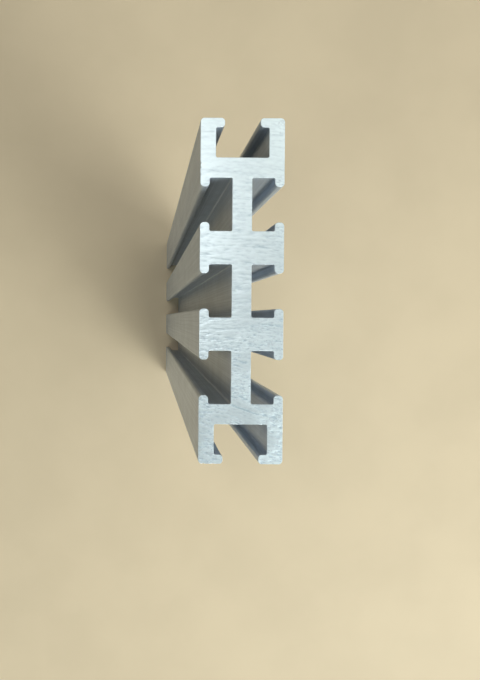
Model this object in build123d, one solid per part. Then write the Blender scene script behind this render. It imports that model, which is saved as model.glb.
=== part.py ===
from build123d import *
import os

# A straight length of solid aluminium T-slot bar, standing on one sawn end.
# Frame: +Z runs along the bar, X across the section's short side and Y along its long side.
# The origin is the middle of the lower sawn end. All sizes are in millimetres.

# The bar
bar_length = 200.0

# The row of T-slots down each long side, and the one T-slot in each short edge
side_slots = 3
slot_pitch = 20.0
mouth_width = 8.2
cavity_width = 12.3
lip_thickness = 2.2
side_cavity_depth = 5.25
end_cavity_depth = 6.95

# The walls between the slots
web_thickness = 4.6
end_flange_thickness = 4.7

# Rounding of the die, and the broken edge left by deburring the sawn ends
corner_radius = 0.9
lip_tip_radius = 0.85
root_radius = 0.4
deburr = 0.2

# Worked out from the above
side_slot_depth = side_cavity_depth + lip_thickness
end_slot_depth = end_cavity_depth + lip_thickness
section_width = web_thickness + 2 * side_slot_depth
outer_slot_y = (side_slots - 1) / 2 * slot_pitch
end_floor_y = outer_slot_y + cavity_width / 2 + end_flange_thickness
section_height = 2 * (end_floor_y + end_slot_depth)
lip_length = (cavity_width - mouth_width) / 2

# A lip carries a round on each side of its tip, so each takes at most half of the lip
lip_share = 0.49
tip_round = min(lip_tip_radius, lip_share * lip_thickness, lip_share * 2 * lip_length)

same_place = 1e-4
cutter_overrun = 1.0


def on_line(value, target):
    """True where a coordinate lies on a line or on its mirror image."""
    return abs(abs(value) - target) < same_place


def t_slot(cavity_depth):
    """The void of one T-slot: its mouth opens upwards at Y = 0, and its cavity lies below the lips."""
    floor = lip_thickness + cavity_depth
    mouth = Rectangle(mouth_width, floor + cutter_overrun, align=(Align.CENTER, Align.MIN))
    cavity = Rectangle(cavity_width, cavity_depth, align=(Align.CENTER, Align.MIN))
    void = Pos(0, -floor) * (mouth + cavity)
    roots = void.vertices().filter_by(lambda v: on_line(v.X, cavity_width / 2))
    void = fillet(roots, root_radius)
    throat = void.vertices().filter_by(
        lambda v: on_line(v.X, mouth_width / 2) and on_line(v.Y, lip_thickness)
    )
    return fillet(throat, tip_round)


def slot_places():
    """Each slot as its cavity depth and the place of its mouth, turned to face outwards."""
    for step in range(side_slots):
        y = outer_slot_y - step * slot_pitch
        yield side_cavity_depth, Pos(section_width / 2, y) * Rot(0, 0, -90)
        yield side_cavity_depth, Pos(-section_width / 2, y) * Rot(0, 0, 90)
    yield end_cavity_depth, Pos(0, section_height / 2)
    yield end_cavity_depth, Pos(0, -section_height / 2) * Rot(0, 0, 180)


def die_section():
    """The bar's cross section, as the die gives it."""
    section = RectangleRounded(section_width, section_height, corner_radius)
    for cavity_depth, place in slot_places():
        section -= place * t_slot(cavity_depth)
    return fillet(mouth_corners(section), tip_round)


def mouth_corners(section):
    """The sharp corners where the slots' mouths break the outer faces."""
    mouths = [place * Pos(side * mouth_width / 2, 0) for _, place in slot_places() for side in (-1, 1)]
    corners = [place.position for place in mouths]
    return section.vertices().filter_by(
        lambda v: any((Vector(v.X, v.Y) - corner).length < same_place for corner in corners)
    )


def sawn_bar(section):
    """The section run out to length, with both sawn ends deburred all round."""
    bar = extrude(section, bar_length)
    ends = bar.faces().filter_by(Axis.Z)
    return chamfer(ends.edges(), deburr)


bar_section = die_section()
extruded_profile = sawn_bar(bar_section)

os.makedirs("parts", exist_ok=True)
export_step(extruded_profile, "parts/extruded_profile.step")
print(f"section {section_width:.2f} x {section_height:.2f}, area {bar_section.area:.1f} mm2")
print(f"volume {extruded_profile.volume:.0f} mm3, solids {len(extruded_profile.solids())}")
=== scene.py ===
"""Looks of a sawn length of solid aluminium T-slot bar that stands on end.

The bar is one extrusion. Its section comes from the die, with three T-slots down each long side and
one in each short edge. A circular blade has sawn both ends, and a file has broken their edges.
Lengths are in metres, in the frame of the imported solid: the bar stands on z = 0 and runs up along Z.
"""

import logging
import math
from collections.abc import Iterator
from dataclasses import dataclass, field
from enum import Enum

import bmesh
import bpy
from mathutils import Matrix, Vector


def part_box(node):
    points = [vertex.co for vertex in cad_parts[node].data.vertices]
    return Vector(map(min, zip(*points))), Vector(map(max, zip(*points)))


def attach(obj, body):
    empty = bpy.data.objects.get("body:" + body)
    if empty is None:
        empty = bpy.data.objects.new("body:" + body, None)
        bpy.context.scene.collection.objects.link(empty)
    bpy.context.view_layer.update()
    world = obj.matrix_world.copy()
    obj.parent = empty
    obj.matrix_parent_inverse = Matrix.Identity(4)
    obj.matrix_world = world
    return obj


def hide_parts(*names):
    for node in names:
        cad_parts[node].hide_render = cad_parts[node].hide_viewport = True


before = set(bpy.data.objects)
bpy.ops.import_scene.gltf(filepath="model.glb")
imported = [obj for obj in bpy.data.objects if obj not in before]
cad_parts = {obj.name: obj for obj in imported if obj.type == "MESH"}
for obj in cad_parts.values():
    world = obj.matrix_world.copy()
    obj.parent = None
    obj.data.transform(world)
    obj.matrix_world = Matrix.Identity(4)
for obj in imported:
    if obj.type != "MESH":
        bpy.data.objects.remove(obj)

MM = 0.001
MICRON = 0.000001
NODE = "extruded_profile"
BODY = "root"
NOISE_SPAN = (0.3, 0.7)

log = logging.getLogger("sawn_bar")

Colour = tuple[float, float, float]
Spot = tuple[float, float]
Socket = bpy.types.NodeSocket
Feed = float | int | str | bool | Colour | Socket | bpy.types.Object | bpy.types.Material


class Finish(Enum):
    """The bar's three finishes, each with the name of the input that brings it into the tree."""

    SKIN = "Skin"
    BROKEN_EDGE = "Broken Edge"
    SAWN_FACE = "Sawn Face"


class Kept(Enum):
    """What the sawn ends remember at each point, with the name of the mesh attribute that holds it."""

    GROOVE = "groove"
    TORN = "torn"
    # the painted highlights on small curved scratches
    HIGHLIT = "highlit"


def mm(across: float, up: float) -> Spot:
    """A spot on the section, given in millimetres from its middle."""
    return across * MM, up * MM


class Recipe:
    """Lays out one node tree, so that a formula reads as calls within calls."""

    def __init__(self, tree: bpy.types.NodeTree) -> None:
        """Starts on a tree.

        Args:
            tree: the node tree of a material, a group, a world or a modifier.
        """
        self.tree = tree

    def add(
        self, kind: str, feeds: dict[str | int, Feed] | None = None, **settings: object
    ) -> bpy.types.Node:
        """Adds one node.

        Args:
            kind: the node's Blender type.
            feeds: what goes into its inputs, by name or number: a plain value, or another node's socket.
            **settings: properties of the node itself, which are set before its inputs are fed.

        Returns:
            The new node.
        """
        node = self.tree.nodes.new(kind)
        for name, value in settings.items():
            setattr(node, name, value)
        for key, value in (feeds or {}).items():
            self.feed(node.inputs[key], value)
        return node

    def feed(self, socket: Socket, value: Feed) -> None:
        """Links a socket into an input, or sets the input's own value.

        Args:
            socket: the input.
            value: a plain value, or another node's socket.
        """
        if isinstance(value, bpy.types.NodeSocket):
            self.tree.links.new(value, socket)
        elif isinstance(value, tuple) and socket.type == "RGBA":
            socket.default_value = (*value, 1.0)
        else:
            socket.default_value = value

    def math(self, operation: str, *values: float | Socket) -> Socket:
        """Adds a Math node and returns its result."""
        return self.add("ShaderNodeMath", dict(enumerate(values)), operation=operation).outputs[0]

    def chain(self, operation: str, values: tuple[float | Socket, ...]) -> Socket:
        """Joins any number of values by one operation, from the first to the last.

        Args:
            operation: the operation of the Math nodes.
            values: what they join.

        Returns:
            The result.
        """
        result = values[0]
        for value in values[1:]:
            result = self.math(operation, result, value)
        return result

    def total(self, *values: float | Socket) -> Socket:
        """Adds up any number of values."""
        return self.chain("ADD", values)

    def product(self, *values: float | Socket) -> Socket:
        """Multiplies any number of values."""
        return self.chain("MULTIPLY", values)

    def less(self, value: float | Socket, taken: float | Socket) -> Socket:
        """Takes one value from another."""
        return self.math("SUBTRACT", value, taken)

    def within(self, value: float | Socket, low: float, high: float) -> Socket:
        """Holds a value between two limits."""
        return self.math("MINIMUM", self.math("MAXIMUM", value, low), high)

    def vector(self, x: float | Socket, y: float | Socket, z: float | Socket) -> Socket:
        """Joins three values into a vector."""
        return self.add("ShaderNodeCombineXYZ", {0: x, 1: y, 2: z}).outputs[0]

    def scaled(self, vector: Socket, scale: float | Socket) -> Socket:
        """Scales a vector."""
        return self.add("ShaderNodeVectorMath", {0: vector, "Scale": scale}, operation="SCALE").outputs[0]

    def parts(self, vector: Socket) -> tuple[Socket, Socket, Socket]:
        """Splits a vector into its three values."""
        outputs = self.add("ShaderNodeSeparateXYZ", {0: vector}).outputs
        return outputs[0], outputs[1], outputs[2]

    def noise(self, vector: Socket, detail: float = 0.0, roughness: float = 0.5) -> Socket:
        """Adds smooth noise with features about one unit of the vector across.

        Args:
            vector: where the noise is read, already scaled.
            detail: how many finer layers there are.
            roughness: the share of each finer layer.

        Returns:
            A value about 0.5, mostly from 0.25 to 0.75.
        """
        feeds = {"Vector": vector, "Scale": 1.0, "Detail": detail, "Roughness": roughness}
        node = self.add("ShaderNodeTexNoise", feeds, noise_dimensions="3D")
        return next(output for output in node.outputs if output.type == "VALUE")

    def ramp(self, value: Socket, low: float, high: float, start: float = 0.0, end: float = 1.0) -> Socket:
        """Maps low to high onto start to end, clamped, with smooth ends."""
        feeds = {0: value, 1: low, 2: high, 3: start, 4: end}
        return self.add("ShaderNodeMapRange", feeds, interpolation_type="SMOOTHSTEP").outputs[0]

    def falloff(self, distance: Socket, reach: float) -> Socket:
        """One where the distance is nothing, and smoothly down to nothing at its reach."""
        return self.ramp(distance, 0.0, reach, 1.0, 0.0)

    def away(self, x: Socket, y: Socket, spot: Spot) -> Socket:
        """How far a place on the section is from a spot."""
        across, up = self.less(x, spot[0]), self.less(y, spot[1])
        return self.math("SQRT", self.total(self.product(across, across), self.product(up, up)))

    def mix_colour(self, share: Feed, first: Feed, second: Feed) -> Socket:
        """Mixes two colours.

        Args:
            share: the share of the second colour.
            first: the first colour.
            second: the second colour.

        Returns:
            The mixed colour.
        """
        node = self.add("ShaderNodeMix", data_type="RGBA")
        colours = [socket for socket in node.inputs if socket.type == "RGBA"]
        self.feed(node.inputs[0], share)
        self.feed(colours[0], first)
        self.feed(colours[1], second)
        return next(socket for socket in node.outputs if socket.type == "RGBA")

    def bump(self, height: Socket, strength: float, distance: float) -> Socket:
        """Turns a height into a normal."""
        feeds = {"Height": height, "Strength": strength, "Distance": distance}
        return self.add("ShaderNodeBump", feeds).outputs[0]

    def kept(self, what: Kept) -> Socket:
        """Reads what the mesh remembers at a point, in a material."""
        return self.add("ShaderNodeAttribute", attribute_name=what.value).outputs["Fac"]


def add_input(tree: bpy.types.NodeTree, name: str, kind: str) -> None:
    """Adds a named input to a tree or group."""
    tree.interface.new_socket(name, in_out="INPUT", socket_type=kind)


def add_output(tree: bpy.types.NodeTree, name: str, kind: str) -> None:
    """Adds a named output to a tree or group."""
    tree.interface.new_socket(name, in_out="OUTPUT", socket_type=kind)


@dataclass(frozen=True)
class Corner:
    """One right-angled corner of the section before it is rounded."""

    place: complex
    radius: float


@dataclass(frozen=True)
class OutlinePoint:
    """One point of the finished outline, with the direction that points out of the metal."""

    place: complex
    outward: complex


@dataclass(frozen=True)
class DieSection:
    """The section that the die gives. X and Y are held as the two parts of a complex number."""

    width: float
    height: float
    side_slots: int = 3
    slot_pitch: float = 20.0 * MM
    mouth_width: float = 8.2 * MM
    cavity_width: float = 12.3 * MM
    lip_thickness: float = 2.2 * MM
    side_cavity_depth: float = 5.25 * MM
    end_cavity_depth: float = 6.95 * MM
    corner_radius: float = 0.9 * MM
    lip_tip_radius: float = 0.85 * MM
    root_radius: float = 0.4 * MM

    def slot_corners(self, middle: float, cavity_depth: float) -> Iterator[tuple[float, float, float]]:
        """Walks round the void of one T-slot, from one edge of its mouth to the other.

        Args:
            middle: where the slot's middle is along its side of the section.
            cavity_depth: how deep the cavity is behind the lips.

        Yields:
            Each corner's place along the side, its depth below the face, and its radius.
        """
        floor = self.lip_thickness + cavity_depth
        half_mouth, half_cavity = self.mouth_width / 2, self.cavity_width / 2
        half = [
            (half_mouth, 0.0, self.lip_tip_radius),
            (half_mouth, self.lip_thickness, self.lip_tip_radius),
            (half_cavity, self.lip_thickness, self.root_radius),
            (half_cavity, floor, self.root_radius),
        ]
        for offset, depth, radius in half:
            yield middle - offset, depth, radius
        for offset, depth, radius in reversed(half):
            yield middle + offset, depth, radius

    def corners(self) -> list[Corner]:
        """Walks round the section anticlockwise, from the lower end of its right side.

        Returns:
            Every corner, in order.
        """
        middles = [(step - (self.side_slots - 1) / 2) * self.slot_pitch for step in range(self.side_slots)]
        long_side = (self.width / 2, self.height / 2, middles, self.side_cavity_depth)
        short_side = (self.height / 2, self.width / 2, [0.0], self.end_cavity_depth)
        found = []
        for quarter in range(4):
            face, reach, slots, cavity_depth = short_side if quarter % 2 else long_side
            turn = 1j**quarter
            for middle in slots:
                for along, depth, radius in self.slot_corners(middle, cavity_depth):
                    found.append(Corner((face - depth + 1j * along) * turn, radius))
            found.append(Corner((face + 1j * reach) * turn, self.corner_radius))
        return found

    def outline(self, spacing: float, arc_steps: int) -> list[OutlinePoint]:
        """Rounds the corners and divides the straight runs.

        Args:
            spacing: the longest step along a straight run.
            arc_steps: the number of steps round each corner.

        Returns:
            The closed outline's points, anticlockwise.
        """
        corners = self.corners()
        points = []
        for last, corner, following in zip(corners[-1:] + corners, corners, corners[1:] + corners[:1]):
            arriving = unit(corner.place - last.place)
            leaving = unit(following.place - corner.place)
            start = last.place + last.radius * arriving
            end = corner.place - corner.radius * arriving
            steps = max(1, math.ceil(abs(end - start) / spacing))
            for step in range(1, steps):
                points.append(OutlinePoint(start + (end - start) * step / steps, -1j * arriving))
            centre = corner.place + corner.radius * (leaving - arriving)
            for step in range(arc_steps + 1):
                turn = step / arc_steps * math.pi / 2
                radial = arriving * math.sin(turn) - leaving * math.cos(turn)
                tangent = arriving * math.cos(turn) + leaving * math.sin(turn)
                points.append(OutlinePoint(centre + corner.radius * radial, -1j * tangent))
        return points


def unit(step: complex) -> complex:
    """The direction of a step, one long."""
    return step / abs(step)


@dataclass(frozen=True)
class BladePath:
    """How the saw's blade crossed the section. Its marks are arcs that fall away to the right."""

    radius: float = 152.0 * MM
    top_of_arc: float = -10.7 * MM
    swing: float = 0.2
    swing_from: float = -8.0 * MM
    swing_to: float = -36.0 * MM

    def drop(self, recipe: Recipe, x: Socket, y: Socket) -> Socket:
        """How far a mark lies below its own height above the top of its arc.

        Args:
            recipe: the tree that the formula is laid out in.
            x: the place across the section.
            y: the place up the section.

        Returns:
            The drop, in metres.
        """
        across = recipe.less(x, self.top_of_arc)
        arc = recipe.product(across, across, 0.5 / self.radius)
        swung = recipe.ramp(y, self.swing_to, self.swing_from, self.swing, 0.0)
        return recipe.total(arc, recipe.product(swung, x))


@dataclass(frozen=True)
class Score:
    """One stray scratch in the upper sawn end, straight and thinning out at both its ends."""

    start: Spot
    end: Spot
    width: float
    strength: float
    full_to: float = 0.3
    gone_at: float = 0.55

    def groove(self, recipe: Recipe, x: Socket, y: Socket) -> Socket:
        """How deep the scratch is at a place, as a share of the deepest saw mark.

        Args:
            recipe: the tree that the formula is laid out in.
            x: the place across the section.
            y: the place up the section.

        Returns:
            Its strength on the middle of its line, and nothing past its width.
        """
        run, rise = self.end[0] - self.start[0], self.end[1] - self.start[1]
        length = math.hypot(run, rise)
        across, up = recipe.less(x, self.start[0]), recipe.less(y, self.start[1])
        along = recipe.total(recipe.product(across, run / length**2), recipe.product(up, rise / length**2))
        aside = recipe.less(recipe.product(up, run / length), recipe.product(across, rise / length))
        from_middle = recipe.math("ABSOLUTE", recipe.less(along, 0.5))
        thinned = recipe.ramp(from_middle, self.full_to, self.gone_at, self.strength, 0.0)
        return recipe.product(recipe.falloff(recipe.math("ABSOLUTE", aside), self.width), thinned)


@dataclass(frozen=True)
class PaintedHighlight:
    """One small bright crescent in the upper sawn end: a painted highlight on a small curved scratch."""

    centre: Spot
    radius: float
    open_side: float
    width: float = 0.5 * MM
    closed_to: float = -0.5
    open_from: float = 0.3

    def highlit(self, recipe: Recipe, x: Socket, y: Socket) -> Socket:
        """How much painted highlight a place gets.

        Args:
            recipe: the tree that the formula is laid out in.
            x: the place across the section.
            y: the place up the section.

        Returns:
            One on the crescent's line, and nothing away from it.
        """
        from_ring = recipe.math("ABSOLUTE", recipe.less(recipe.away(x, y, self.centre), self.radius))
        across, up = recipe.less(x, self.centre[0]), recipe.less(y, self.centre[1])
        towards_open = recipe.total(
            recipe.product(across, math.cos(self.open_side) / self.radius),
            recipe.product(up, math.sin(self.open_side) / self.radius),
        )
        closed = recipe.ramp(towards_open, self.closed_to, self.open_from, 1.0, 0.0)
        return recipe.product(recipe.falloff(from_ring, self.width), closed)


@dataclass(frozen=True)
class Nick:
    """One dent in the edge of the upper sawn end."""

    place: Spot
    radius: float
    depth: float

    def dent(self, recipe: Recipe, x: Socket, y: Socket) -> Socket:
        """How far the outline is pushed in at a place."""
        return recipe.product(recipe.falloff(recipe.away(x, y, self.place), self.radius), self.depth)


@dataclass(frozen=True)
class SawMarks:
    """The surface of a sawn end: the blade's marks, torn metal, stray scratches, and painted highlights on
    small curved scratches.
    """

    fine_pitch: float = 0.55 * MM
    fine_length: float = 1.7 * MM
    long_pitch: float = 0.9 * MM
    long_length: float = 8.0 * MM
    long_share: float = 0.42
    contrast: float = 2.8
    faint_above: tuple[float, float] = (22.0 * MM, 33.0 * MM)
    faint_share: float = 0.42
    torn_pitch: float = 0.38 * MM
    torn_length: float = 1.15 * MM
    torn_slant: float = -0.06
    torn_patch: float = 5.0 * MM
    torn_below: tuple[float, float] = (12.0 * MM, -24.0 * MM)
    torn_beside: tuple[float, float] = (6.6 * MM, 9.2 * MM)
    torn_beside_share: float = 0.8
    torn_patches: tuple[float, float] = (0.3, 0.65)
    torn_least: float = 0.25
    torn_hides: float = 0.45
    torn_contrast: float = 4.4
    middle: float = 0.5
    deepest: float = 1.3
    end_seed_step: float = 7.3
    scores: tuple[Score, ...] = (
        Score(mm(-2.2, -26.4), mm(4.4, -28.7), 0.26 * MM, 1.6),
        Score(mm(5.2, -28.7), mm(8.6, -29.7), 0.30 * MM, 0.8),
        Score(mm(-9.4, 36.85), mm(-6.3, 36.75), 0.32 * MM, 0.25),
        Score(mm(6.6, 36.2), mm(9.6, 36.0), 0.32 * MM, 0.25),
        Score(mm(-2.0, 22.0), mm(2.1, 21.5), 0.26 * MM, 0.5),
        Score(mm(-8.2, 27.9), mm(-2.4, 27.6), 0.55 * MM, 0.24),
        Score(mm(2.6, 10.6), mm(9.4, 9.2), 0.28 * MM, 0.35),
        Score(mm(-9.3, 7.9), mm(-1.8, 7.0), 0.30 * MM, 0.4),
        Score(mm(-2.0, -15.6), mm(1.2, -16.7), 0.30 * MM, 0.8),
        Score(mm(-1.9, -17.0), mm(1.0, -18.0), 0.30 * MM, 0.7),
    )
    # painted highlights: bright crescents on small curved scratches
    painted_highlights: tuple[PaintedHighlight, ...] = (
        PaintedHighlight(mm(-0.7, 0.3), 0.45 * MM, math.radians(80.0)),
        PaintedHighlight(mm(-1.0, -10.2), 0.7 * MM, math.radians(170.0)),
    )

    def stretched(self, recipe: Recipe, x: Socket, row: Socket, seed: Socket, size: Spot) -> Socket:
        """Noise about nothing, drawn out along the blade's arcs.

        Args:
            recipe: the tree.
            x: the place across the section.
            row: the place along the blade's feed.
            seed: which of the two ends it is.
            size: how long and how wide a mark is.

        Returns:
            A value about nothing.
        """
        place = recipe.vector(recipe.product(x, 1 / size[0]), recipe.product(row, 1 / size[1]), seed)
        return recipe.less(recipe.noise(place, detail=2.0, roughness=0.55), 0.5)

    def torn(self, recipe: Recipe, x: Socket, y: Socket, seed: Socket) -> Socket:
        """How far the blade tore the metal at a place, which it did low down and along the right side.

        Args:
            recipe: the tree.
            x: the place across the section.
            y: the place up the section.
            seed: which of the two ends it is.

        Returns:
            A value from 0 to 1.
        """
        below = recipe.ramp(y, *self.torn_below)
        beside = recipe.ramp(x, *self.torn_beside, 0.0, self.torn_beside_share)
        patch = 1 / self.torn_patch
        spot = recipe.vector(recipe.product(x, patch), recipe.product(y, patch), seed)
        patchy = recipe.ramp(recipe.noise(spot), *self.torn_patches, self.torn_least, 1.0)
        return recipe.product(recipe.math("MAXIMUM", below, beside), patchy)

    def tree(self) -> bpy.types.NodeTree:
        """Builds the group of geometry nodes that says what a place on a sawn end is like.

        Returns:
            A group. Its Row is the place along the blade's feed, and its End is -1 or 1.
        """
        tree = bpy.data.node_groups.new("saw_marks", "GeometryNodeTree")
        for name in ("X", "Y", "Row", "End", "Seed"):
            add_input(tree, name, "NodeSocketFloat")
        for kept in Kept:
            add_output(tree, kept.value, "NodeSocketFloat")
        recipe = Recipe(tree)
        given = recipe.add("NodeGroupInput").outputs
        x, y, row = given["X"], given["Y"], given["Row"]
        upper = recipe.ramp(given["End"], 0.0, 1.0)
        seed = recipe.math("MULTIPLY_ADD", given["End"], self.end_seed_step, given["Seed"])
        torn = self.torn(recipe, x, y, seed)
        fine = self.stretched(recipe, x, row, seed, (self.fine_length, self.fine_pitch))
        long = self.stretched(recipe, x, row, seed, (self.long_length, self.long_pitch))
        slanted = recipe.total(row, recipe.product(x, self.torn_slant))
        chips = self.stretched(recipe, x, slanted, seed, (self.torn_length, self.torn_pitch))
        clean = recipe.total(
            recipe.product(long, self.long_share * self.contrast),
            recipe.product(fine, (1.0 - self.long_share) * self.contrast),
        )
        rough = recipe.product(chips, self.torn_contrast, torn)
        left_clean = recipe.less(1.0, recipe.product(torn, self.torn_hides))
        cut = recipe.total(recipe.product(clean, left_clean), rough)
        faint = recipe.ramp(y, *self.faint_above, 1.0, self.faint_share)
        groove = recipe.total(recipe.product(cut, faint), self.middle)
        for score in self.scores:
            groove = recipe.total(groove, recipe.product(score.groove(recipe, x, y), upper))
        # painted highlights: the crescents that brighten the upper sawn end's colour
        highlit = 0.0
        for glint in self.painted_highlights:
            highlit = recipe.total(highlit, glint.highlit(recipe, x, y))
        feeds = {
            Kept.GROOVE.value: recipe.within(groove, 0.0, self.deepest),
            Kept.TORN.value: torn,
            Kept.HIGHLIT.value: recipe.product(highlit, upper),
        }
        recipe.add("NodeGroupOutput", feeds)
        return tree


@dataclass
class SawnBar:
    """The bar: the die's section run out to length, with two sawn ends that a file has deburred."""

    section: DieSection
    length: float
    blade: BladePath = field(default_factory=BladePath)
    marks: SawMarks = field(default_factory=SawMarks)
    mark_depth: float = 45.0 * MICRON
    least_cut: float = 2.0 * MICRON
    deburr: float = 0.14 * MM
    deburr_wander: float = 0.5
    deburr_patch: float = 1.3 * MM
    edge_steps: int = 4
    collar: float = 0.3 * MM
    nicks: tuple[Nick, ...] = (
        Nick(mm(-9.75, 29.5), 0.42 * MM, 0.20 * MM),
        Nick(mm(-9.75, 28.5), 0.40 * MM, 0.18 * MM),
        Nick(mm(-9.75, 26.9), 0.34 * MM, 0.12 * MM),
        Nick(mm(-8.6, -40.0), 0.45 * MM, 0.16 * MM),
        Nick(mm(-6.4, -40.0), 0.40 * MM, 0.14 * MM),
    )
    die_line_depth: float = 4.0 * MICRON
    die_line_pitch: float = 0.7 * MM
    outline_spacing: float = 0.22 * MM
    arc_steps: int = 8
    cells_across: int = 80
    cells_along: int = 800
    overrun: float = 4.0 * MM
    seed: int = 4
    edge_steepness: float = 0.15
    face_steepness: float = 0.9
    sharp_angle: float = math.radians(26.0)

    def section_face(self) -> bpy.types.Mesh:
        """Draws the lower sawn end as one face, with the way out of the metal kept at each point.

        Returns:
            A mesh with the vector attribute "outward".
        """
        points = self.section.outline(self.outline_spacing, self.arc_steps)
        mesh = bpy.data.meshes.new("die_section")
        mesh.from_pydata([(p.place.real, p.place.imag, 0.0) for p in points], [], [range(len(points))])
        outward = mesh.attributes.new("outward", "FLOAT_VECTOR", "POINT")
        for item, point in zip(outward.data, points):
            item.vector = (point.outward.real, point.outward.imag, 0.0)
        mesh.update()
        return mesh

    def tree(self) -> bpy.types.NodeTree:
        """Builds the geometry nodes that turn the section into the bar.

        Returns:
            The tree, with its sizes and materials as named inputs.
        """
        tree = bpy.data.node_groups.new("sawn_bar", "GeometryNodeTree")
        add_input(tree, "Section", "NodeSocketGeometry")
        for name in ("Length", "Deburr", "Deburr Wander", "Die Line Depth", "Mark Depth"):
            add_input(tree, name, "NodeSocketFloat")
        for name in ("Seed", "Cells Across", "Cells Along"):
            add_input(tree, name, "NodeSocketInt")
        for finish in Finish:
            add_input(tree, finish.value, "NodeSocketMaterial")
        add_output(tree, "Bar", "NodeSocketGeometry")
        recipe = Recipe(tree)
        given = recipe.add("NodeGroupInput").outputs
        marks = self.marks.tree()
        cut = recipe.add("GeometryNodeMeshBoolean", operation="INTERSECT", solver="MANIFOLD")
        for solid in (self.drawn_length(recipe, given), self.sawn_block(recipe, given, marks)):
            tree.links.new(solid, cut.inputs["Mesh 2"])
        remembered = self.remembered(recipe, given, marks, cut.outputs["Mesh"])
        recipe.add("NodeGroupOutput", {0: self.dressed(recipe, given, remembered)})
        return tree

    def drawn_length(self, recipe: Recipe, given: bpy.types.NodeOutputs) -> Socket:
        """Runs the section up to length, ring by ring, and rounds its end edges by the deburring.

        Args:
            recipe: the tree.
            given: the tree's named inputs.

        Returns:
            A closed solid with fine die lines down its walls.
        """
        section, length, deburr = given["Section"], given["Length"], given["Deburr"]
        turns = [step / self.edge_steps * math.pi / 2 for step in range(self.edge_steps + 1)]
        shares = [math.cos(low) - math.cos(high) for low, high in zip(turns, turns[1:])]
        edge = [recipe.product(deburr, share) for share in shares]
        ends = recipe.total(recipe.product(deburr, 2.0), 2 * self.collar)
        solid, top = section, True
        for rise in (*edge, self.collar, recipe.less(length, ends), self.collar, *reversed(edge)):
            feeds = {"Mesh": solid, "Selection": top, "Offset": recipe.vector(0.0, 0.0, rise)}
            step = recipe.add("GeometryNodeExtrudeMesh", {**feeds, "Individual": False}, mode="FACES")
            solid, top = step.outputs["Mesh"], step.outputs["Top"]
        lower_cap = recipe.add("GeometryNodeFlipFaces", {"Mesh": section}).outputs[0]
        joined = recipe.add("GeometryNodeJoinGeometry")
        for piece in (solid, lower_cap):
            recipe.tree.links.new(piece, joined.inputs[0])
        weld = {"Geometry": joined.outputs[0], "Distance": MICRON}
        welded = recipe.add("GeometryNodeMergeByDistance", weld)
        outward = recipe.add("GeometryNodeInputNamedAttribute", {"Name": "outward"}, data_type="FLOAT_VECTOR")
        offset = recipe.scaled(outward.outputs[0], self.outward_step(recipe, given))
        moved = {"Geometry": welded.outputs[0], "Offset": offset}
        return recipe.add("GeometryNodeSetPosition", moved).outputs[0]

    def outward_step(self, recipe: Recipe, given: bpy.types.NodeOutputs) -> Socket:
        """How far each point of the walls is moved out of the metal.

        Args:
            recipe: the tree.
            given: the tree's named inputs.

        Returns:
            A small step for the die's lines, less what the file and the nicks took off the end edges.
        """
        length, deburr = given["Length"], given["Deburr"]
        place = recipe.add("GeometryNodeInputPosition").outputs[0]
        x, y, z = recipe.parts(place)
        below_top = recipe.less(length, z)
        from_end = recipe.math("MINIMUM", z, below_top)
        round_share = recipe.less(1.0, recipe.math("DIVIDE", from_end, deburr))
        round_share = recipe.within(round_share, 0.0, 1.0)
        squared = recipe.product(round_share, round_share)
        inward = recipe.less(1.0, recipe.math("SQRT", recipe.less(1.0, squared)))
        patch = recipe.less(recipe.noise(recipe.scaled(place, 1 / self.deburr_patch), detail=2.0), 0.5)
        uneven = recipe.total(1.0, recipe.product(patch, 2.0, given["Deburr Wander"]))
        filed = recipe.product(deburr, uneven, inward)
        dented = 0.0
        for nick in self.nicks:
            dented = recipe.total(dented, nick.dent(recipe, x, y))
        dented = recipe.product(dented, recipe.falloff(below_top, self.deburr + self.collar))
        pitch = 1 / self.die_line_pitch
        lines = recipe.vector(recipe.product(x, pitch), recipe.product(y, pitch), given["Seed"])
        ridge = recipe.product(recipe.less(recipe.noise(lines, detail=1.0), 1.0), given["Die Line Depth"])
        return recipe.less(ridge, recipe.total(filed, dented))

    def sawn_block(self, recipe: Recipe, given: bpy.types.NodeOutputs, marks: bpy.types.NodeTree) -> Socket:
        """Makes the block that the two saw cuts leave, with the blade's marks on both ends.

        The rows of its ends follow the blade's arcs, so that a mark keeps its shape along its length.

        Args:
            recipe: the tree.
            given: the tree's named inputs.
            marks: the group that says how deep each place is.

        Returns:
            A closed block, wider than the section, that ends where the blade cut.
        """
        length = given["Length"]
        width, height = self.section.width + self.overrun, self.section.height + 2 * self.overrun
        size = recipe.vector(width, height, length)
        cells = {"Vertices X": given["Cells Across"], "Vertices Y": given["Cells Along"], "Vertices Z": 2}
        block = recipe.add("GeometryNodeMeshCube", {"Size": size, **cells}).outputs["Mesh"]
        x, row, z = recipe.parts(recipe.add("GeometryNodeInputPosition").outputs[0])
        end = recipe.math("SIGN", z)
        drop = self.blade.drop(recipe, x, row)
        feeds = {"X": x, "Y": recipe.less(row, drop), "Row": row, "End": end, "Seed": given["Seed"]}
        here = recipe.add("GeometryNodeGroup", feeds, node_tree=marks)
        groove = here.outputs[Kept.GROOVE.value]
        sunk = recipe.total(self.least_cut, recipe.product(groove, given["Mark Depth"]))
        rise = recipe.less(recipe.product(length, 0.5), recipe.product(end, sunk))
        offset = recipe.vector(0.0, recipe.product(drop, -1.0), rise)
        return recipe.add("GeometryNodeSetPosition", {"Geometry": block, "Offset": offset}).outputs[0]

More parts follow.
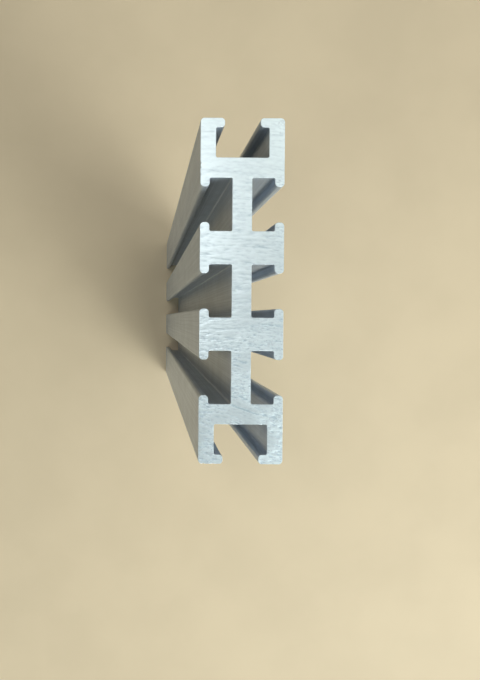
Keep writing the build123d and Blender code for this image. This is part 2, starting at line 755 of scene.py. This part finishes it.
    def remembered(
        self, recipe: Recipe, given: bpy.types.NodeOutputs, marks: bpy.types.NodeTree, solid: Socket
    ) -> Socket:
        """Keeps on the mesh what each place on the sawn ends is like, for the finishes to read.

        Args:
            recipe: the tree.
            given: the tree's named inputs.
            marks: the group that says what each place is like.
            solid: the cut bar.

        Returns:
            The bar with its attributes.
        """
        x, y, z = recipe.parts(recipe.add("GeometryNodeInputPosition").outputs[0])
        end = recipe.math("SIGN", recipe.less(z, recipe.product(given["Length"], 0.5)))
        row = recipe.total(y, self.blade.drop(recipe, x, y))
        feeds = {"X": x, "Y": y, "Row": row, "End": end, "Seed": given["Seed"]}
        here = recipe.add("GeometryNodeGroup", feeds, node_tree=marks)
        for kept in Kept:
            feeds = {"Geometry": solid, "Name": kept.value, "Value": here.outputs[kept.value]}
            solid = recipe.add("GeometryNodeStoreNamedAttribute", feeds, data_type="FLOAT").outputs[0]
        return solid

    def dressed(self, recipe: Recipe, given: bpy.types.NodeOutputs, solid: Socket) -> Socket:
        """Gives each face its finish by the way that it faces, and ends the tree.

        Args:
            recipe: the tree.
            given: the tree's named inputs.
            solid: the cut bar.

        Returns:
            The finished geometry.
        """
        _, _, up = recipe.parts(recipe.add("GeometryNodeInputNormal").outputs[0])
        steep = recipe.math("ABSOLUTE", up)
        steeper_than = {
            Finish.SKIN: -1.0,
            Finish.BROKEN_EDGE: self.edge_steepness,
            Finish.SAWN_FACE: self.face_steepness,
        }
        for finish, least in steeper_than.items():
            chosen = recipe.math("GREATER_THAN", steep, least)
            feeds = {"Geometry": solid, "Selection": chosen, "Material": given[finish.value]}
            solid = recipe.add("GeometryNodeSetMaterial", feeds).outputs[0]
        return recipe.add("GeometryNodeRealizeInstances", {"Geometry": solid}).outputs[0]

    def build(self, finishes: dict[Finish, bpy.types.Material]) -> bpy.types.Object:
        """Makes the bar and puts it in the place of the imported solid.

        Args:
            finishes: the material of each finish.

        Returns:
            The finished piece.
        """
        draft = bpy.data.objects.new("bar_draft", self.section_face())
        bpy.context.scene.collection.objects.link(draft)
        modifier = draft.modifiers.new("sawn_bar", "NODES")
        modifier.node_group = self.tree()
        values = {
            "Length": self.length,
            "Deburr": self.deburr,
            "Deburr Wander": self.deburr_wander,
            "Die Line Depth": self.die_line_depth,
            "Mark Depth": self.mark_depth,
            "Seed": self.seed,
            "Cells Across": self.cells_across,
            "Cells Along": self.cells_along,
            **{finish.value: material for finish, material in finishes.items()},
        }
        set_inputs(modifier, values)
        bpy.context.view_layer.update()
        evaluated = draft.evaluated_get(bpy.context.evaluated_depsgraph_get())
        mesh = bpy.data.meshes.new_from_object(evaluated)
        mesh.name = "sawn_t_slot_bar"
        bpy.data.objects.remove(draft)
        mesh.shade_smooth()
        mesh.set_sharp_from_angle(angle=self.sharp_angle)
        bar = bpy.data.objects.new("sawn_t_slot_bar", mesh)
        bpy.context.scene.collection.objects.link(bar)
        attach(bar, BODY)
        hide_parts(NODE)
        return bar


def set_inputs(modifier: bpy.types.NodesModifier, values: dict[str, object]) -> None:
    """Sets a modifier's inputs by the identifier of the socket that each name stands for.

    Args:
        modifier: a geometry nodes modifier.
        values: what goes into each named input.
    """
    for item in modifier.node_group.interface.items_tree:
        if item.item_type == "SOCKET" and item.in_out == "INPUT" and item.name in values:
            modifier[item.identifier] = values[item.name]


def new_material(name: str) -> tuple[Recipe, bpy.types.Material, bpy.types.Node]:
    """Starts a material from nothing but a Principled BSDF and its output.

    Args:
        name: the material's name.

    Returns:
        The recipe of its tree, the material, and the shader node.
    """
    material = bpy.data.materials.new(name)
    material.use_nodes = True
    material.node_tree.nodes.clear()
    recipe = Recipe(material.node_tree)
    shader = recipe.add("ShaderNodeBsdfPrincipled")
    recipe.add("ShaderNodeOutputMaterial", {"Surface": shader.outputs[0]})
    return recipe, material, shader


@dataclass(frozen=True)
class DrawnLines:
    """Fine lines drawn out one way, which the die, the blade and the file all leave."""

    streak_from: float = 0.32
    streak_to: float = 0.68

    def group(self) -> bpy.types.NodeTree:
        """Builds the shader group.

        Returns:
            A group that takes a Place and its Stretch, and puts out Lines about 0.5 and Streaks from 0 to 1.
        """
        tree = bpy.data.node_groups.new("drawn_lines", "ShaderNodeTree")
        add_input(tree, "Place", "NodeSocketVector")
        add_input(tree, "Stretch", "NodeSocketVector")
        for name in ("Lines", "Streaks"):
            add_output(tree, name, "NodeSocketFloat")
        recipe = Recipe(tree)
        given = recipe.add("NodeGroupInput").outputs
        feeds = {0: given["Place"], 1: given["Stretch"]}
        place = recipe.add("ShaderNodeVectorMath", feeds, operation="MULTIPLY").outputs[0]
        lines = recipe.noise(place, detail=2.0, roughness=0.6)
        streaks = recipe.ramp(lines, self.streak_from, self.streak_to)
        recipe.add("NodeGroupOutput", {"Lines": lines, "Streaks": streaks})
        return tree


@dataclass(frozen=True)
class Handling:
    """What storage and handling leave on every finish: dull patches and small pits."""

    patch: float = 7.0 * MM
    pit_size: float = 0.55 * MM
    dull_from: float = 0.35
    dull_to: float = 0.65
    pit_from: float = 0.62
    pit_to: float = 0.80
    worn_pits: float = 0.12

    def group(self) -> bpy.types.NodeTree:
        """Builds the shader group.

        Returns:
            A group that takes a Place and how Worn it is, and puts out Dull and Pit, both from 0 to 1.
        """
        tree = bpy.data.node_groups.new("handling", "ShaderNodeTree")
        add_input(tree, "Place", "NodeSocketVector")
        add_input(tree, "Worn", "NodeSocketFloat")
        for name in ("Dull", "Pit"):
            add_output(tree, name, "NodeSocketFloat")
        recipe = Recipe(tree)
        given = recipe.add("NodeGroupInput").outputs
        patches = recipe.noise(recipe.scaled(given["Place"], 1 / self.patch), detail=3.0, roughness=0.55)
        grains = recipe.noise(recipe.scaled(given["Place"], 1 / self.pit_size), detail=1.0)
        worn_grains = recipe.total(grains, recipe.product(given["Worn"], self.worn_pits))
        feeds = {
            "Dull": recipe.ramp(patches, self.dull_from, self.dull_to),
            "Pit": recipe.ramp(worn_grains, self.pit_from, self.pit_to),
        }
        recipe.add("NodeGroupOutput", feeds)
        return tree


@dataclass(frozen=True)
class SharedEffects:
    """The shader groups that more than one finish uses."""

    lines: bpy.types.NodeTree
    handling: bpy.types.NodeTree

    def lines_at(self, recipe: Recipe, place: Socket, stretch: Socket) -> bpy.types.NodeOutputs:
        """Places the fine lines in a material and returns their outputs."""
        feeds = {"Place": place, "Stretch": stretch}
        return recipe.add("ShaderNodeGroup", feeds, node_tree=self.lines).outputs

    def handling_at(self, recipe: Recipe, place: Socket, worn: Feed) -> bpy.types.NodeOutputs:
        """Places the marks of handling in a material and returns their outputs."""
        feeds = {"Place": place, "Worn": worn}
        return recipe.add("ShaderNodeGroup", feeds, node_tree=self.handling).outputs


@dataclass(frozen=True)
class MillSkin:
    """The skin that the die leaves: satin, with fine lines along the bar, and darker than the sawn metal,
    partly for its dull finish and partly as painted shade.
    """

    # partly painted shade: these colours are held darker than the sawn metal so that the walls and slots read
    # as shaded
    bright: Colour = (0.45, 0.51, 0.575)
    dark: Colour = (0.38, 0.43, 0.485)
    dulled: Colour = (0.38, 0.41, 0.445)
    metallic: float = 0.75
    roughness: float = 0.42
    anisotropy: float = 0.5
    rougher: float = 0.05
    smoother: float = 0.03
    dull_share: float = 0.35
    dull_roughness: float = 0.06
    line_pitch: float = 0.3 * MM
    line_length: float = 60.0 * MM
    bump: float = 0.12
    bump_depth: float = 4.0 * MICRON

    def build(self, shared: SharedEffects) -> bpy.types.Material:
        """Makes the material of the walls.

        Args:
            shared: the shader groups.

        Returns:
            The material.
        """
        recipe, material, shader = new_material("mill_skin")
        place = recipe.add("ShaderNodeTexCoord").outputs["Object"]
        stretch = recipe.vector(1 / self.line_pitch, 1 / self.line_pitch, 1 / self.line_length)
        die = shared.lines_at(recipe, place, stretch)
        worn = shared.handling_at(recipe, place, 0.0)
        recipe.feed(shader.inputs["Metallic"], self.metallic)
        recipe.feed(shader.inputs["Anisotropic"], self.anisotropy)
        lined = recipe.mix_colour(die["Streaks"], self.dark, self.bright)
        shaded = recipe.mix_colour(recipe.product(worn["Dull"], self.dull_share), lined, self.dulled)
        recipe.feed(shader.inputs["Base Color"], shaded)
        rough, smooth = self.roughness + self.rougher, self.roughness - self.smoother
        satin = recipe.ramp(die["Lines"], *NOISE_SPAN, rough, smooth)
        dull = recipe.product(worn["Dull"], self.dull_roughness)
        recipe.feed(shader.inputs["Roughness"], recipe.total(satin, dull))
        recipe.feed(shader.inputs["Normal"], recipe.bump(die["Lines"], self.bump, self.bump_depth))
        return material


@dataclass(frozen=True)
class SawnFace:
    """The sawn end: bright metal, rougher down in the blade's marks, with painted shade that darkens the
    marks and painted highlights on small curved scratches.
    """

    bright: Colour = (0.90, 1.0, 1.0)
    # painted shade: the colour that the blade's marks darken to
    painted_groove_shade: Colour = (0.42, 0.50, 0.53)
    pitted: Colour = (0.56, 0.62, 0.64)
    # painted highlight: the colour of the bright scratch crescents
    highlight_colour: Colour = (0.91, 1.0, 1.0)
    roughness: float = 0.40
    smoother: float = 0.04
    rougher: float = 0.08
    torn_roughness: float = 0.04
    torn_shade: float = 0.05
    shaded_from: float = 0.3
    shaded_to: float = 1.3
    pitted_from: float = 0.1
    pitted_to: float = 0.7
    least_pitted: float = 0.1
    most_pitted: float = 0.5
    hair_pitch: float = 0.14 * MM
    hair_length: float = 3.0 * MM
    hair_share: float = 0.6
    bump: float = 0.35
    bump_depth: float = 8.0 * MICRON
    blade: BladePath = field(default_factory=BladePath)

    def build(self, shared: SharedEffects) -> bpy.types.Material:
        """Makes the material of the sawn ends.

        Args:
            shared: the shader groups.

        Returns:
            The material.
        """
        recipe, material, shader = new_material("sawn_face")
        place = recipe.add("ShaderNodeTexCoord").outputs["Object"]
        x, y, z = recipe.parts(place)
        along_feed = recipe.vector(x, recipe.total(y, self.blade.drop(recipe, x, y)), z)
        stretch = recipe.vector(1 / self.hair_length, 1 / self.hair_pitch, 1.0)
        hairs = shared.lines_at(recipe, along_feed, stretch)
        groove, torn, highlit = (recipe.kept(kept) for kept in Kept)
        worn = shared.handling_at(recipe, place, torn)
        pits = recipe.ramp(torn, self.pitted_from, self.pitted_to, self.least_pitted, self.most_pitted)
        pit = recipe.product(worn["Pit"], pits)
        deep = recipe.ramp(groove, self.shaded_from, self.shaded_to)
        recipe.feed(shader.inputs["Metallic"], 1.0)
        # painted shade: darker down in the blade's marks, and a little more where the metal is torn
        shade = recipe.total(deep, recipe.product(torn, self.torn_shade))
        sawn = recipe.mix_colour(shade, self.bright, self.painted_groove_shade)
        pocked = recipe.mix_colour(pit, sawn, self.pitted)
        # painted highlight: the scratch crescents lift the colour towards the highlight colour
        recipe.feed(shader.inputs["Base Color"], recipe.mix_colour(highlit, pocked, self.highlight_colour))
        coarse = recipe.total(
            self.roughness,
            recipe.ramp(deep, 0.0, 1.0, -self.smoother, self.rougher),
            recipe.product(torn, self.torn_roughness),
        )
        recipe.feed(shader.inputs["Roughness"], coarse)
        height = recipe.less(recipe.product(hairs["Lines"], self.hair_share), pit)
        recipe.feed(shader.inputs["Normal"], recipe.bump(height, self.bump, self.bump_depth))
        return material


@dataclass(frozen=True)
class BrokenEdge:
    """The filed edge round a sawn end: duller than the metal beside it."""

    bright: Colour = (0.63, 0.67, 0.685)
    dark: Colour = (0.51, 0.55, 0.56)
    roughness: float = 0.66
    rougher: float = 0.08
    smoother: float = 0.02
    pit_share: float = 0.5
    chatter: float = 0.25 * MM
    chatter_stretch: float = 4.0
    bump: float = 0.3
    bump_depth: float = 6.0 * MICRON

    def build(self, shared: SharedEffects) -> bpy.types.Material:
        """Makes the material of the broken edges.

        Args:
            shared: the shader groups.

        Returns:
            The material.
        """
        recipe, material, shader = new_material("broken_edge")
        place = recipe.add("ShaderNodeTexCoord").outputs["Object"]
        pitch = 1 / self.chatter
        stretch = recipe.vector(pitch, pitch, pitch / self.chatter_stretch)
        filed = shared.lines_at(recipe, place, stretch)
        worn = shared.handling_at(recipe, place, 0.0)
        recipe.feed(shader.inputs["Metallic"], 1.0)
        lined = recipe.mix_colour(filed["Streaks"], self.dark, self.bright)
        pocked = recipe.mix_colour(recipe.product(worn["Pit"], self.pit_share), lined, self.dark)
        recipe.feed(shader.inputs["Base Color"], pocked)
        rough, smooth = self.roughness + self.rougher, self.roughness - self.smoother
        recipe.feed(shader.inputs["Roughness"], recipe.ramp(filed["Lines"], *NOISE_SPAN, rough, smooth))
        recipe.feed(shader.inputs["Normal"], recipe.bump(filed["Lines"], self.bump, self.bump_depth))
        return material


@dataclass(frozen=True)
class SoftLamp:
    """One large square lamp that looks at the bar's upper end."""

    name: str
    place: tuple[float, float, float]
    side: float
    watts: float
    colour: Colour = (1.0, 1.0, 1.0)
    spread: float = math.radians(180.0)

    def build(self, target: Vector) -> None:
        """Hangs the lamp and turns it to its target.

        Args:
            target: the point that it looks at.
        """
        light = bpy.data.lights.new(self.name, "AREA")
        light.shape = "SQUARE"
        light.size = self.side
        light.spread = self.spread
        light.energy = self.watts
        light.color = self.colour
        lamp = bpy.data.objects.new(self.name, light)
        lamp.location = self.place
        lamp.rotation_euler = (target - Vector(self.place)).to_track_quat("-Z", "Y").to_euler()
        bpy.context.scene.collection.objects.link(lamp)


@dataclass(frozen=True)
class Studio:
    """A plain pale floor, soft lamps and a plain world."""

    floor_side: float = 8.0
    floor_colour: Colour = (0.507, 0.408, 0.264)
    floor_shade: Colour = (0.48, 0.386, 0.249)
    floor_mottle: float = 0.05
    floor_roughness: float = 0.8
    floor_cells: int = 8
    world_colour: Colour = (0.93, 1.0, 1.0)
    world_level: float = 0.187
    lamps: tuple[SoftLamp, ...] = (
        SoftLamp("key_lamp", (0.663, -0.557, 0.70), 0.5, 8.15, (0.90, 0.97, 1.0)),
        SoftLamp("low_lamp", (0.591, -1.023, 0.408), 0.7, 3.47, (0.90, 0.975, 1.0), math.radians(80.0)),
        SoftLamp("side_lamp", (1.088, 0.0, 0.707), 0.7, 3.9, (0.90, 0.95, 1.0)),
        SoftLamp("upper_lamp", (-0.359, 0.359, 1.288), 0.5, 3.95, (0.96, 0.965, 1.0)),
        SoftLamp("overhead_lamp", (-0.083, 0.145, 1.388), 0.4, 0.64, (0.91, 0.95, 1.0)),
        SoftLamp("right_fill", (0.60, 0.60, 1.05), 0.7, 2.4, (0.98, 1.0, 0.95)),
        SoftLamp("left_fill", (-0.797, -0.797, 0.610), 0.7, 4.4, (0.90, 1.0, 1.0)),
    )

    def build(self, aim: float) -> None:
        """Lays the floor and sets the light.

        Args:
            aim: the height that the lamps look at.
        """
        bpy.context.scene.view_settings.view_transform = "Standard"
        self.floor()
        self.world()
        for lamp in self.lamps:
            lamp.build(Vector((0.0, 0.0, aim)))

    def floor(self) -> None:
        """Lays a plain pale floor that has a faint mottle."""
        mesh = bpy.data.meshes.new("studio_floor")
        shape = bmesh.new()
        cells, half = self.floor_cells, self.floor_side / 2
        bmesh.ops.create_grid(shape, x_segments=cells, y_segments=cells, size=half)
        shape.to_mesh(mesh)
        shape.free()
        floor = bpy.data.objects.new("studio_floor", mesh)
        bpy.context.scene.collection.objects.link(floor)
        recipe, material, shader = new_material("pale_floor")
        place = recipe.add("ShaderNodeTexCoord").outputs["Object"]
        mottle = recipe.noise(recipe.scaled(place, 1 / self.floor_mottle), detail=3.0)
        shade = recipe.mix_colour(recipe.ramp(mottle, *NOISE_SPAN), self.floor_shade, self.floor_colour)
        recipe.feed(shader.inputs["Base Color"], shade)
        recipe.feed(shader.inputs["Roughness"], self.floor_roughness)
        mesh.materials.append(material)

    def world(self) -> None:
        """Sets the plain world."""
        world = bpy.data.worlds.new("studio_world")
        world.use_nodes = True
        bpy.context.scene.world = world
        background = world.node_tree.nodes["Background"]
        background.inputs[0].default_value = (*self.world_colour, 1.0)
        background.inputs[1].default_value = self.world_level


@dataclass(frozen=True)
class PhotoCamera:
    """The camera over the bar's upper end, beside it and a little below its middle."""

    picture_width: int = 480
    picture_height: int = 680
    foot_x: float = -21.9 * MM
    foot_y: float = -6.4 * MM
    above_end: float = 119.5 * MM
    under_foot_x: float = 146.55
    under_foot_y: float = 317.9
    focal_pixels: float = 517.5
    sensor: float = 36.0
    clip_start: float = 5 * MM
    roll: float = math.radians(0.46)

    def build(self, bar_length: float) -> None:
        """Hangs the camera straight above the floor, looking down.

        The bar stands off to the side of the lens, which the shift brings back into the picture.

        Args:
            bar_length: the height of the sawn end.
        """
        lens = bpy.data.cameras.new("photo_camera")
        long_side = max(self.picture_width, self.picture_height)
        lens.sensor_width = self.sensor
        lens.lens = self.focal_pixels / long_side * self.sensor
        lens.shift_x = (self.picture_width / 2 - self.under_foot_x) / long_side
        lens.shift_y = (self.under_foot_y - self.picture_height / 2) / long_side
        lens.clip_start = self.clip_start
        camera = bpy.data.objects.new("photo_camera", lens)
        camera.location = (self.foot_x, self.foot_y, bar_length + self.above_end)
        camera.rotation_euler = (0.0, 0.0, self.roll)
        bpy.context.scene.collection.objects.link(camera)
        bpy.context.scene.camera = camera


def main() -> None:
    """Builds the bar, the studio and the camera."""
    logging.basicConfig(level=logging.INFO, format="%(name)s: %(message)s")
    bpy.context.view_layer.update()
    low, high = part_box(NODE)
    size = high - low
    PhotoCamera().build(size.z)
    shared = SharedEffects(DrawnLines().group(), Handling().group())
    finishes = {
        Finish.SKIN: MillSkin().build(shared),
        Finish.BROKEN_EDGE: BrokenEdge().build(shared),
        Finish.SAWN_FACE: SawnFace().build(shared),
    }
    piece = SawnBar(DieSection(size.x, size.y), size.z).build(finishes)
    triangles = sum(len(face.vertices) - 2 for face in piece.data.polygons)
    log.info("%s: %d triangles", piece.name, triangles)
    Studio().build(size.z)


if __name__ == "__main__":
    main()
